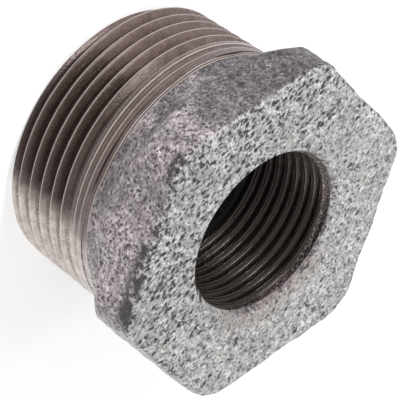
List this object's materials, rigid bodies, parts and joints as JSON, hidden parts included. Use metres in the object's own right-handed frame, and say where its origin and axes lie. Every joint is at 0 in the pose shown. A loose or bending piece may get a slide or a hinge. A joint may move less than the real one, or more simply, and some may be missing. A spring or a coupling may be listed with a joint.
{
  "type": "hex bushing",
  "caption": "Cast hexagon reducing bushing: tapered outside pipe thread below a rounded hexagon head, with a smaller threaded bore opening into a cored hollow.",
  "frame": {"origin": "centre of the small end face of the outside thread", "axes": "+Z along the bore towards the face of the hexagon, +X through one corner of the hexagon"},
  "size_m": [0.0528, 0.047, 0.0315],
  "materials": {
    "cast_iron": "speckled galvanised cast skin, with bare dark machined threads"
  },
  "bodies": {
    "root": {"hex_bushing": "cast_iron"}
  },
  "joints": []
}
